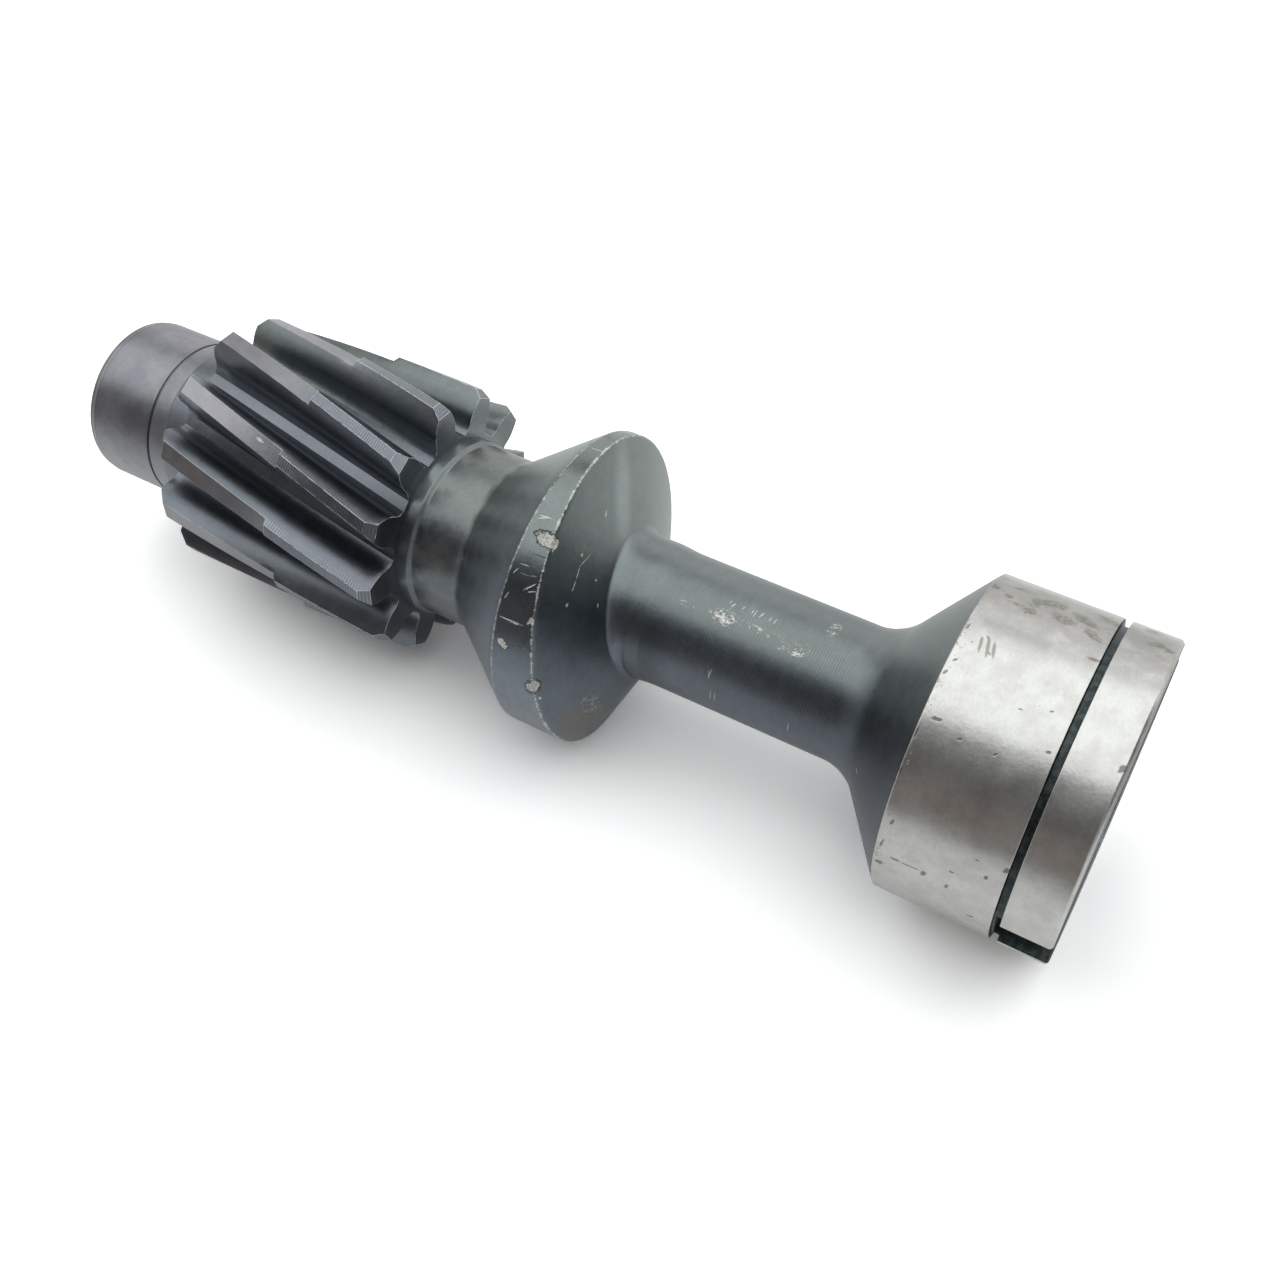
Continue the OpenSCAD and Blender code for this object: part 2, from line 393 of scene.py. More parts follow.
class Finish:
    # one material, with short ways to add its nodes
    # lengths are in mm, and a value may be a number or a socket
    def __init__(self, name):
        self.material = bpy.data.materials.new(name)
        self.material.use_nodes = True
        self.tree = self.material.node_tree
        self.bsdf = self.tree.nodes["Principled BSDF"]
        coords = self.node("TexCoord").outputs["Object"]
        self.place = self.node("Mapping", coords, Scale=(1000, 1000, 1000)).outputs[0]
        split = self.node("SeparateXYZ", self.place)
        self.x, self.y, self.z = split.outputs
        self.radius = self.node("VectorMath", self.node("CombineXYZ", self.x, self.y).outputs[0],
                                operation="LENGTH").outputs["Value"]
        # nearly the same all the way round: it gives every turned surface its tool lines
        drift = self.math("MULTIPLY", self.x, 0.03)
        self.turned = self.node("CombineXYZ", self.radius, self.z, drift).outputs[0]

    def node(self, kind, *feeds, **settings):
        return addNode(self.tree, kind, *feeds, **settings)

    def math(self, operation, *values):
        return self.node("Math", *values, operation=operation).outputs[0]

    def times(self, *values):
        total = values[0]
        for value in values[1:]:
            total = self.math("MULTIPLY", total, value)
        return total

    def plus(self, *values):
        total = values[0]
        for value in values[1:]:
            total = self.math("ADD", total, value)
        return total

    def largest(self, *values):
        total = values[0]
        for value in values[1:]:
            total = self.math("MAXIMUM", total, value)
        return total

    def fade(self, value, low, high, start=0.0, end=1.0):
        return self.node("MapRange", value, low, high, start, end, interpolation_type="SMOOTHSTEP").outputs[0]

    def within(self, value, low, high, soft):
        # 1 between two limits, with soft ends
        rising = self.fade(value, low - soft, low + soft)
        return self.times(rising, self.fade(value, high + soft, high - soft))

    def ripple(self, pitch):
        # tool marks along the shaft, from -1 to 1
        return self.math("SINE", self.times(self.z, 2 * pi / pitch))

    def across(self):
        # mm across the shaft as the photo shows it, positive on its low side
        turn = radians(wear["wearAndLightSide"] - 90)
        return self.plus(self.times(self.x, cos(turn)), self.times(self.y, sin(turn)))

    def noise(self, scale, detail=2.0, rough=0.5, place=None, stretch=None, shift=(0, 0, 0)):
        place = place or self.place
        if stretch or shift != (0, 0, 0):
            place = self.node("Mapping", place, Location=shift, Scale=stretch or (1, 1, 1)).outputs[0]
        return self.node("TexNoise", place, Scale=scale, Detail=detail, Roughness=rough).outputs[0]

    def vary(self, value, amount):
        # a noise turned into a factor about 1
        return self.math("MULTIPLY_ADD", value, 2 * amount, 1 - amount)

    def blend(self, factor, a, b):
        mix = self.node("Mix", data_type="RGBA")
        for index, value in ((0, factor), (6, a), (7, b)):   # the node's sockets for colours
            feed(self.tree, mix.inputs[index], (*value, 1) if isinstance(value, tuple) else value)
        return mix.outputs[2]

    def shade(self, colour, factor):
        grey = self.node("CombineXYZ", factor, factor, factor).outputs[0]
        return self.node("VectorMath", colour, grey, operation="MULTIPLY").outputs[0]

    def nearest(self, listed, ragged, amount):
        # each mark is (centre, direction, half length, half width)
        # gives 1 on the nearest one's outline, which the ragged noise frays
        near = None
        for centre, direction, halfLength, halfWidth in listed:
            turn = Vector(direction).to_track_quat("X", "Z").to_euler()
            inside = self.node("Mapping", self.place, vector_type="TEXTURE", Location=centre, Rotation=turn,
                               Scale=(halfLength, halfWidth, halfWidth)).outputs[0]
            far = self.node("VectorMath", inside, operation="LENGTH").outputs["Value"]
            near = far if near is None else self.math("MINIMUM", near, far)
        return self.math("MULTIPLY_ADD", self.math("SUBTRACT", ragged, 0.5), amount, near)

    def marks(self, listed, ragged, amount):
        return self.fade(self.nearest(listed, ragged, amount), 1.15, 0.75)

    def finish(self, colour, rough, height, anisotropic, metallic=1.0):
        bump = self.node("Bump", Strength=1.0, Distance=mm)
        feed(self.tree, bump.inputs["Height"], height)
        around = self.node("Tangent", direction_type="RADIAL", axis="Z")
        values = {"Base Color": colour, "Roughness": rough, "Metallic": metallic, "Normal": bump.outputs[0],
                  "Anisotropic": anisotropic, "Anisotropic Rotation": 0.25, "Tangent": around.outputs[0]}
        for key, value in values.items():
            feed(self.tree, self.bsdf.inputs[key], value)


def onSkin(radius, angle, z, tilt, halfLength, halfWidth):
    # a mark on the shaft: angle from the reference side, tilt of its long side from the axis
    turn = radians(wear["wearAndLightSide"] - angle)
    around = Vector((sin(turn), -cos(turn), 0))
    direction = Vector((0, 0, cos(radians(tilt)))) + around * sin(radians(tilt))
    return ((radius * cos(turn), radius * sin(turn), z), direction, halfLength, halfWidth)


def scratch(start, end, width):
    a, b = Vector(start), Vector(end)
    return ((a + b) / 2, b - a, (b - a).length / 2, width / 2)


wear = dict(
    # the first angle is the side that the marks and the painted light and shade are measured from
    wearAndLightSide=256, edgeBreak=0.75, turningPitch=0.24, crestPitch=0.26,
    # scratches: start, end, width
    camScratches=[
        ((-8.35, -10.63, 48.89), (-8.2, -10.87, 46.57), 0.1),
        ((-0.24, -13.62, 48.47), (0.23, -13.62, 47.31), 0.09),
        ((-5.74, -12.35, 46.96), (-4.98, -12.67, 46.14), 0.1),
        ((-3.66, -9.69, 44.43), (-2.72, -9.83, 44.52), 0.09),
        ((-2.72, -9.83, 44.52), (-1.57, -10.05, 44.70), 0.08),
        ((-1.57, -10.05, 44.70), (-0.13, -9.46, 44.61), 0.06),
        ((-3.4, -6.6, 43.06), (-3.0, -6.9, 43.1), 0.12), ((3.3, -9.1, 45.2), (3.9, -9.2, 45.35), 0.12)],
    # marks on the rim: angle, height, tilt, half length, half width
    rimScratches=[
        (-49, 47.75, 5, 0.6, 0.04), (-14.7, 47.7, 4, 0.65, 0.05), (10.5, 46.3, 25, 0.35, 0.05),
        (3, 47.6, 3, 0.4, 0.04), (22.8, 47.4, 1, 1.1, 0.06), (21, 45.8, 60, 0.2, 0.1),
        (6, 48.2, 60, 0.3, 0.05), (15, 48.3, 70, 0.35, 0.05)],
    cracks=[
        (5.5, 47.0, 10, 0.7, 0.09), (9, 46.6, 40, 0.5, 0.08), (31, 46.4, 3, 0.8, 0.07),
        (-1.5, 46.6, 5, 0.8, 0.08), (32.5, 47.5, 5, 0.5, 0.12)],
    # on the cam face: a faint scuff, a painted highlight band and a brown stain, as centre, direction and
    # half sizes
    faceScuffs=[((-9.85, 0.6, 42.2), (0, 1, 0), 2.2, 0.9)],
    faceHighlight=[((6.3, -7.4, 45.5), (2.93, -1.0, 1.29), 5.5, 1.5)],
    faceStain=[((-11.5, 2.5, 42.9), (0, 1, 0), 5.0, 2.8)],
    flareScratches=[
        ((-3.71, -4.68, 32.93), (-4.57, -3.85, 32.57), 0.07),
        ((-6.56, -4.9, 18.45), (-7.03, -4.9, 18.15), 0.1)],
    # marks on the shank: angle, height, tilt, half length, half width
    shankTicks=[
        (-29, 29.2, 80, 0.3, 0.05), (-29, 29.65, 85, 0.22, 0.04), (-29.5, 30.45, 70, 0.3, 0.06),
        (-28.5, 31.0, 85, 0.35, 0.04), (-29, 31.25, 80, 0.25, 0.04), (-29, 32.1, 75, 0.2, 0.05),
        (-28, 32.95, 60, 0.25, 0.06), (-30, 33.3, 85, 0.2, 0.04), (31, 32.6, 84, 0.7, 0.035),
        (52, 31.9, 88, 1.0, 0.03), (52, 32.3, 88, 1.2, 0.03), (50, 25.2, 88, 0.9, 0.03)],
    shankScuffs=[
        (-16, 33.2, 0, 1.5, 0.75), (-13, 26.9, 12, 1.5, 0.5), (-43, 24.7, 80, 0.9, 0.5),
        (-14, 36.6, 0, 0.8, 0.25), (-17, 30.2, 0, 2.4, 0.3)],
    brightScuffs=[(-17, 33.7, 20, 0.45, 0.3), (-13, 33.0, -30, 0.55, 0.35), (-11, 26.3, 15, 0.6, 0.22)],
    # chips and small bare spots: centre, direction, half length, half width
    chips=[((-1.55, -13.54, 46.75), (0.12, 0, 1), 1.0, 0.55), ((-1.5, -13.1, 46.1), (1, 0, 0.4), 0.6, 0.3),
           ((-11.6, -6.9, 44.7), (-0.2, 0.5, 0.6), 0.75, 0.52),
           ((-9.84, -9.41, 47.81), (0.3, -0.3, 1), 0.5, 0.34)],
    spots=[((-7.6, -11.31, 45.61), (1, -0.6, 0), 0.3, 0.22), ((-0.72, -10.29, 44.9), (1, 0, 0), 0.16, 0.12),
           ((-4.83, -9.46, 44.34), (1, 0, 0), 0.18, 0.12), ((-1.61, -7.99, 43.76), (0, 1, 0), 0.12, 0.08),
           ((-12.04, -5.51, 44.25), (0, 1, 0), 0.2, 0.12)],
    neckSpots=[((-2.9, -8.9, 55.3), (1, 0, 0.6), 0.35, 0.14), ((-4.2, -9.3, 53.6), (0, 0.3, 1), 0.3, 0.1)],
    gearSpots=[((-2.6, -11.75, 76.5), (0.2, 0, 1), 0.45, 0.14)])

tint = dict(
    oxideLitAbove=(0.17, 0.193, 0.19), oxideLitBelow=(0.15, 0.171, 0.199), gearLitBelow=(0.163, 0.176, 0.2),
    bareSteel=(0.64, 0.635, 0.615), freshChip=(0.68, 0.665, 0.63), camStain=(0.185, 0.172, 0.158),
    neckGrey=(0.183, 0.189, 0.189), warmLitCrestTint=(0.255, 0.25, 0.272),
    groundDark=(0.505, 0.495, 0.485), groundPale=(0.59, 0.585, 0.572), groundDull=(0.325, 0.32, 0.303),
    groundStain=(0.19, 0.178, 0.15), groundPit=(0.135, 0.125, 0.108),
    journalDark=(0.213, 0.22, 0.248), journalPale=(0.262, 0.262, 0.285), journalTableReflection=(0.36, 0.365, 0.37),
    journalLeadHighlight=(0.34, 0.34, 0.36), leadShadeLine=(0.1, 0.104, 0.115), relief=(0.17, 0.176, 0.19),
    journalStain=(0.218, 0.21, 0.205), grooveShade=(0.035, 0.045, 0.048), grooveGrime=(0.085, 0.1, 0.1),
    edgeDark=(0.21, 0.225, 0.24), edgeWornHighlight=(0.85, 0.85, 0.83))


def blackOxide(name, rough, hueFrom, hueTo, tableLitHue=tint["oxideLitBelow"]):
    # the blued and blackened skin that most of the shaft has; each zone adds its own wear and its own painted
    # light and shade
    f = Finish(name)
    f.grain = f.noise(7, 3, 0.6)
    f.patches = f.noise(0.16, 4, 0.55)
    f.mottle = f.noise(0.9, 5, 0.62, shift=(7, 3, 1))
    f.lines = f.noise(9, 2, 0.6, place=f.turned)
    # the oxide's two hues are laid on by side as painted light: grey-green on the upper side as lit from
    # above, blue-violet on the low side as lit from the table; sideways runs from -1 to 1
    f.sideways = f.math("DIVIDE", f.across(), f.math("MAXIMUM", f.radius, 1.0))
    sideLightTint = f.fade(f.plus(f.sideways, f.times(f.math("SUBTRACT", f.patches, 0.5), 1.4)), hueFrom, hueTo)
    f.skin = f.blend(sideLightTint, tint["oxideLitAbove"], tableLitHue)
    f.tone = f.times(f.vary(f.patches, 0.14), f.vary(f.mottle, 0.2), f.vary(f.grain, 0.18),
                     f.vary(f.lines, 0.1))
    f.relief = f.plus(f.times(f.lines, 0.006), f.times(f.grain, 0.008), f.times(f.mottle, 0.02))
    f.rough = f.plus(f.times(f.mottle, 0.12), f.times(f.grain, 0.06), rough - 0.09)
    return f


def finishOxide(f, toneWithShade, bare, extraHeight=0.0, chipped=0.0):
    # the tone darkens or brightens the skin with tool marks and painted light and shade; bare shows the steel
    # under it, chips show fresh pale steel
    colour = f.shade(f.skin, f.times(f.tone, toneWithShade))
    bare = f.math("MINIMUM", bare, 1.0)
    streak = f.noise(3.5, 4, 0.7)
    colour = f.blend(bare, colour, f.shade(tint["bareSteel"], f.vary(streak, 0.7)))
    if chipped != 0.0:
        broken = f.fade(streak, 0.32, 0.6, 0.55, 1.0)
        colour = f.blend(chipped, colour, f.shade(tint["freshChip"], broken))
        bare = f.largest(bare, chipped)
    height = f.plus(f.relief, f.times(bare, -0.015), extraHeight)
    f.finish(colour, f.rough, height, 0.3, metallic=f.fade(bare, 0.0, 1.0, 1.0, 0.35))


def makeBlackShank():
    f = blackOxide("blackShank", 0.41, -0.3, 0.3)
    fray = f.noise(5, 4, 0.7)
    skin = shaft["shankR"]
    thin = f.marks([scratch(*mark) for mark in wear["flareScratches"]] +
                   [onSkin(skin, *mark) for mark in wear["shankTicks"]], fray, 1.6)
    sparkle = f.noise(2.8, 5, 0.75, stretch=(2, 2, 1.1))
    scuffed = f.times(f.marks([onSkin(skin, *mark) for mark in wear["shankScuffs"]], fray, 1.6),
                      f.fade(sparkle, 0.48, 0.62))
    bright = f.times(f.marks([onSkin(skin, *mark) for mark in wear["brightScuffs"]], fray, 1.6),
                     f.fade(sparkle, 0.42, 0.5))
    # turning marks round the shank, deepest in its middle
    onShank = f.within(f.z, shaft["headLength"] + 7, camZ - 2.5, 1.5)
    turning = f.times(f.ripple(wear["turningPitch"]), onShank,
                      f.fade(f.noise(0.3, 2), 0.34, 0.6), f.within(f.sideways, -0.5, 0.6, 0.2))
    # painted shade on the low side, on the flare and in the corner at the cam
    lowSideShade = f.times(f.within(f.sideways, 0.05, 0.8, 0.15), f.fade(f.z, 35, 22, 0.12, 0.26))
    flareShade = f.times(f.within(f.z, shaft["headLength"] + 1, shaft["headLength"] + 5, 0.8),
                      f.fade(f.sideways, -0.55, -0.2, 0.0, 0.1))
    cornerShade = f.times(f.fade(f.z, camZ - 3.5, camZ - 1), f.fade(f.sideways, 0.0, 0.4, 0.0, 0.22))
    tone = f.math("SUBTRACT", f.plus(1.0, f.times(turning, 0.13)), f.plus(lowSideShade, flareShade, cornerShade))
    bare = f.plus(f.times(thin, 0.9), f.times(scuffed, 0.8), bright)
    finishOxide(f, tone, bare, f.times(turning, 0.006))


def makeBlackCam():
    f = blackOxide("blackCam", 0.36, -0.2, 0.5)
    # the rim is smoother, and painted paler on its low side as light from below; the corner at the shank gets
    # painted shade
    onRim = f.fade(f.radius, shaft["camR"] - 0.3, shaft["camR"] - 0.1)
    f.rough = f.plus(f.rough, f.times(onRim, -0.08))
    f.relief = f.times(f.relief, f.fade(onRim, 0.0, 1.0, 1.0, 0.45))
    cornerShade = f.times(f.fade(f.z, camZ + 2.2, camZ + 0.6), f.fade(f.sideways, 0.0, 0.4, 0.0, 0.22))
    lowRimLight = f.times(onRim, f.fade(f.sideways, 0.5, 0.8, 0.0, 0.18))
    # bright broken wear along the rim's two edges
    throw = radians(shaft["camAngle"])
    tip = (shaft["camThrow"] * cos(throw), shaft["camThrow"] * sin(throw), 0)
    flat = f.node("CombineXYZ", f.x, f.y).outputs[0]
    lift = f.times(f.node("VectorMath", flat, tip, operation="DISTANCE").outputs["Value"],
                   tan(radians(shaft["camSlope"])))
    inward = f.math("SUBTRACT", shaft["camR"], f.radius)
    faceGap = f.math("SUBTRACT", f.math("SUBTRACT", f.z, camZ), lift)
    frontEdge = f.largest(inward, f.math("ABSOLUTE", faceGap))
    backEdge = f.largest(inward, f.math("ABSOLUTE", f.math("SUBTRACT", f.z, camBackZ)))
    reach = f.times(f.math("SUBTRACT", f.noise(2.2, 5, 0.75, shift=(1, 2, 3)), 0.45), wear["edgeBreak"])
    rimWear = f.plus(f.fade(f.math("SUBTRACT", frontEdge, reach), 0.07, -0.03),
                     f.times(f.fade(f.math("SUBTRACT", backEdge, reach), 0.06, -0.04), 0.55))
    fray = f.noise(5, 4, 0.7)
    thin = f.marks([scratch(*mark) for mark in wear["camScratches"]] +
                   [onSkin(shaft["camR"], *mark) for mark in wear["rimScratches"]], fray, 1.6)
    chip = f.nearest(wear["chips"], f.noise(2.0, 4, 0.6, shift=(5, 1, 8)), 1.9)
    chipped = f.fade(chip, 1.06, 0.9)
    # cracks, and dents round the chips, with a dark ring of painted shade round each chip
    crack = f.nearest([onSkin(shaft["camR"], *mark) for mark in wear["cracks"]], fray, 1.5)
    outline = f.largest(f.times(f.fade(chip, 0.97, 1.08), f.fade(chip, 1.3, 1.12)),
                        f.fade(crack, 1.1, 0.5, 0.0, 0.55))
    spots = f.marks(wear["spots"], fray, 1.5)
    scuffed = f.times(f.marks(wear["faceScuffs"], fray, 1.6), f.fade(f.noise(2.8, 5, 0.75), 0.48, 0.64))
    # a painted highlight band across the face
    highlightBand = f.fade(f.nearest(wear["faceHighlight"], f.mottle, 0.6), 1.3, 0.2)
    stain = f.fade(f.nearest(wear["faceStain"], f.mottle, 1.6), 1.2, 0.4)
    f.skin = f.blend(f.times(stain, 0.8), f.skin, tint["camStain"])
    bare = f.plus(f.times(thin, 0.9), f.times(rimWear, 0.85), f.times(spots, 0.8), f.times(scuffed, 0.45))
    # the tone adds the painted highlight band and the painted light on the low rim, and takes off painted
    # shade round the chips and in the corner
    tone = f.math("SUBTRACT", f.plus(1.0, f.times(highlightBand, 0.45), lowRimLight),
                  f.plus(f.times(outline, 0.6), cornerShade))
    dents = f.plus(f.times(chipped, f.vary(fray, 0.8), -0.12), f.times(outline, -0.05))
    finishOxide(f, tone, bare, dents, chipped)


def makeBlackNeck():
    f = blackOxide("blackNeck", 0.36, -0.2, 0.5)
    # paler on the cam's back, greyer and browner on the neck, with a painted dark reflection of the teeth
    # beside the gear
    onCone = f.within(f.z, camBackZ + 0.5, neckZ, 0.5)
    onNeck = f.within(f.z, neckZ - 1, gearZ - 1.2, 1.0)
    f.skin = f.blend(f.times(onNeck, f.fade(f.mottle, 0.35, 0.62)), f.skin, tint["neckGrey"])
    # a painted dark reflection of the teeth on the neck beside the gear
    teethReflection = f.times(f.within(f.z, gearZ - 3.2, gearZ - 1.4, 0.7),
                     f.fade(f.noise(0.55, 3, 0.5, shift=(2, 9, 4)), 0.42, 0.78))
    spots = f.marks(wear["neckSpots"], f.noise(5, 4, 0.7), 1.5)
    # fine stray nicks all round
    stray = f.fade(f.noise(2.3, 3, 0.6, shift=(4, 4, 9)), 0.715, 0.76)
    finishOxide(f, f.plus(1.0, f.times(onCone, 0.26), f.times(teethReflection, -0.4)),
                f.plus(f.times(spots, 0.8), f.times(stray, 0.5)))


def makeBlackGear():
    f = blackOxide("blackGear", 0.34, -1.0, -0.45, tint["gearLitBelow"])
    # painted shade between the teeth
    shadeInTeeth = f.times(f.within(f.radius, gear["rootR"] + 0.7, gear["tipSmallR"] - 0.6, 0.5),
                      f.fade(f.z, hubZ + 0.2, hubZ - 0.2))
    # the crests keep the lines of the turned blank
    onCrest = f.times(f.fade(f.radius, gear["tipSmallR"] - 0.1, gear["tipSmallR"] - 0.03),
                      f.fade(f.z, hubZ, hubZ - 1))
    stepZ = gearZ + gear["tipLength"]
    turning = f.times(f.ripple(wear["crestPitch"]), onCrest, f.fade(f.z, stepZ + 1, stepZ - 0.5, 0.25, 1.0),
                      f.fade(f.noise(0.35, 2, shift=(2, 2, 2)), 0.4, 0.6))
    # the crests are a little warmer on the end next to the journal, and painted paler there as light
    warmLitCrest = f.times(onCrest, f.fade(f.plus(f.z, f.times(f.patches, 12)), gearZ + 15, gearZ + 24))
    f.skin = f.blend(warmLitCrest, f.skin, tint["warmLitCrestTint"])
    thin = f.marks(wear["gearSpots"], f.noise(5, 4, 0.7), 1.6)
    tone = f.plus(1.0, f.times(shadeInTeeth, -0.22), f.times(turning, 0.3), f.times(onCrest, 0.08))
    finishOxide(f, tone, f.times(thin, 0.9), f.times(turning, 0.006))


def makeBlackFace():
    f = blackOxide("blackFace", 0.42, -0.3, 0.3)
    worn = f.fade(f.noise(0.5, 4, 0.65, shift=(3, 3, 3)), 0.55, 0.7)
    # the end face and the bore are darkened as painted shade; a few patches are worn bare
    finishOxide(f, 0.62, f.times(worn, 0.12))


grind = dict(
    # stains on the head: angle, height, tilt, half length, half width
    blotches=[
        (-72.6, 2.3, 10, 0.5, 0.45), (-61, 1.7, 0, 0.5, 0.35), (-60, 0.8, 20, 0.3, 0.3),
        (-66, 5.5, -20, 0.75, 0.35), (-59, 7.0, -30, 0.8, 0.4), (-52, 6.0, -40, 0.7, 0.3),
        (-55, 8.5, -30, 0.6, 0.4), (-62, 9.6, 20, 1.0, 0.5), (-59, 10.7, 80, 0.7, 0.35),
        (-52, 10.8, 30, 0.45, 0.3), (-53, 11.8, 0, 0.45, 0.14), (-56, 12.7, 0, 0.3, 0.2),
        (-59, 13.9, 0, 0.25, 0.25), (-41, 5.1, 10, 0.3, 0.12), (-64, 12.4, 20, 0.35, 0.2)],
    # pits and short scratches
    strokes=[(-30, 11.65, -74, 0.75, 0.13), (-30.5, 12.15, -76, 0.95, 0.14), (-30.5, 12.7, -80, 0.8, 0.13),
             (-28.5, 11.9, -40, 0.25, 0.1), (-33.5, 12.4, -50, 0.25, 0.1)],
    pits=[
        (-6, 5.3, 20, 0.2, 0.1), (0.5, 8.5, 50, 0.25, 0.08), (0.5, 11.2, 30, 0.2, 0.1),
        (-2.4, 13.2, 10, 0.4, 0.14), (-17, 14.05, 60, 0.25, 0.1), (-22, 13.8, 40, 0.2, 0.08),
        (33, 4.85, 60, 0.3, 0.2), (39, 6.05, 60, 0.22, 0.14), (50.5, 8.5, 70, 0.25, 0.14),
        (43, 8.45, 10, 0.2, 0.08), (49.5, 10.4, 80, 0.3, 0.2), (49, 11.45, 2, 0.75, 0.06),
        (49, 12.7, 0, 0.35, 0.12), (54, 13.8, 20, 0.35, 0.22), (34, 7.0, 0, 0.2, 0.06),
        (62, 6.3, 20, 0.3, 0.12), (34, 13.6, 70, 0.3, 0.12), (44, 13.9, 80, 0.5, 0.1),
        (-35, 14.1, 80, 0.3, 0.08), (3, 14.15, 85, 0.5, 0.1), (16, 14.2, 85, 0.3, 0.08),
        (-10, 0.35, 60, 0.35, 0.22), (-30, 13.3, 40, 0.1, 0.06), (-18, 6.2, 30, 0.16, 0.07),
        (-15, 8.2, 10, 0.18, 0.05)])


def makeGroundSteel():
    f = Finish("groundSteel")
    ground = f.noise(11, 3, 0.7, stretch=(0.09, 0.09, 1))
    fine = f.noise(26, 2, 0.6, stretch=(0.12, 0.12, 1), shift=(3, 5, 7))
    cloud = f.noise(0.45, 4, 0.6)
    speck = f.noise(3.5, 3, 0.6, shift=(8, 1, 2))
    fray = f.noise(2.6, 4, 0.65)
    colour = f.blend(f.fade(cloud, 0.35, 0.65), tint["groundDark"], tint["groundPale"])
    # the upper side has dulled to a grey brown, in soft-edged patches
    across = f.across()
    dull = f.fade(f.plus(across, f.times(f.math("SUBTRACT", cloud, 0.5), 3.0)), -8.4, -10.6)
    dull = f.times(dull, f.fade(cloud, 0.3, 0.6, 0.6, 1.0), f.fade(across, -13.3, -12.6, 0.4, 1.0))
    colour = f.blend(dull, colour, tint["groundDull"])
    head = shaft["headR"]
    stain = f.nearest([onSkin(head, *mark) for mark in grind["blotches"]],
                      f.noise(1.3, 5, 0.7, shift=(9, 4, 6)), 4.2)
    blotch = f.times(f.fade(stain, 1.9, 0.7),
                     f.fade(f.noise(3.0, 3, 0.6, shift=(1, 6, 2)), 0.32, 0.56, 0.35, 1.0))
    strokes = f.marks([onSkin(head, *mark) for mark in grind["strokes"]], fray, 1.0)
    colour = f.blend(f.largest(f.times(blotch, 0.85), f.times(strokes, 0.7)), colour, tint["groundStain"])
    # specks of rust along the flare's edge and thinly elsewhere
    atEdge = f.fade(f.z, shaft["headLength"] - 1.3, shaft["headLength"])
    speckled = f.fade(f.plus(speck, f.times(atEdge, 0.12)), 0.7, 0.76)
    pitted = f.nearest([onSkin(head, *mark) for mark in grind["pits"]], fray, 2.2)
    dark = f.largest(f.fade(pitted, 1.35, 0.6, 0.0, 0.75), f.times(speckled, 0.5))
    colour = f.blend(dark, colour, tint["groundPit"])
    colour = f.shade(colour, f.times(f.vary(ground, 0.1), f.vary(fine, 0.08), f.vary(speck, 0.1)))
    rough = f.plus(f.times(ground, 0.07), f.times(cloud, 0.12), f.times(dull, 0.05), f.times(dark, 0.2), 0.21)
    height = f.plus(f.times(ground, 0.004), f.times(fine, 0.002), f.times(cloud, 0.02),
                    f.times(speck, 0.008), f.times(dark, -0.014))
    f.finish(colour, rough, height, 0.3)


def makeJournalSteel():
    f = Finish("journalSteel")
    lines = f.noise(10, 3, 0.7, stretch=(0.08, 0.08, 1))
    cloud = f.noise(0.35, 4, 0.6, shift=(5, 5, 5))
    grain = f.noise(8, 3, 0.6)
    colour = f.blend(f.fade(cloud, 0.35, 0.65), tint["journalDark"], tint["journalPale"])
    # a painted reflection of the table makes its low side paler; past a painted shade line at its end the
    # lead is painted paler as a highlight; painted shade darkens the relief groove
    colour = f.blend(f.fade(f.across(), 4.5, 7.6, 0.0, 0.5), colour, tint["journalTableReflection"])
    leadZ = topZ - shaft["leadLength"]
    # the lead at the journal's end is painted paler as a highlight, behind a painted shade line
    colour = f.blend(f.fade(f.z, leadZ - 0.08, leadZ + 0.08, 0.0, 0.35), colour, tint["journalLeadHighlight"])
    colour = f.blend(f.times(f.within(f.z, leadZ - 0.14, leadZ - 0.02, 0.06), 0.5), colour, tint["leadShadeLine"])
    # painted shade in the relief groove
    reliefShade = f.fade(f.radius, shaft["journalR"] - 0.04, shaft["journalR"] - 0.1)
    colour = f.blend(reliefShade, colour, tint["relief"])
    stain = f.noise(0.9, 4, 0.6, shift=(2, 7, 5))
    colour = f.blend(f.fade(stain, 0.48, 0.66, 0.0, 0.5), colour, tint["journalStain"])
    colour = f.shade(colour, f.times(f.vary(lines, 0.12), f.vary(grain, 0.1), f.vary(cloud, 0.12)))
    rough = f.plus(f.times(lines, 0.08), f.times(cloud, 0.14), 0.3)
    height = f.plus(f.times(lines, 0.004), f.times(grain, 0.005), f.times(cloud, 0.02))
    f.finish(colour, rough, height, 0.4)


def makeGrooveBlack():
    f = Finish("grooveBlack")
    # near black: painted shade inside the slot and the head's groove, mottled in paler patches
    grime = f.noise(1.4, 4, 0.65)
    grain = f.noise(9, 3, 0.6)
    colour = f.blend(f.fade(grime, 0.4, 0.65), tint["grooveShade"], tint["grooveGrime"])
    colour = f.shade(colour, f.vary(grain, 0.3))
    rough = f.plus(f.times(grime, 0.3), 0.3)
    height = f.plus(f.times(grime, 0.02), f.times(grain, 0.01))
    f.finish(colour, rough, height, 0.0)


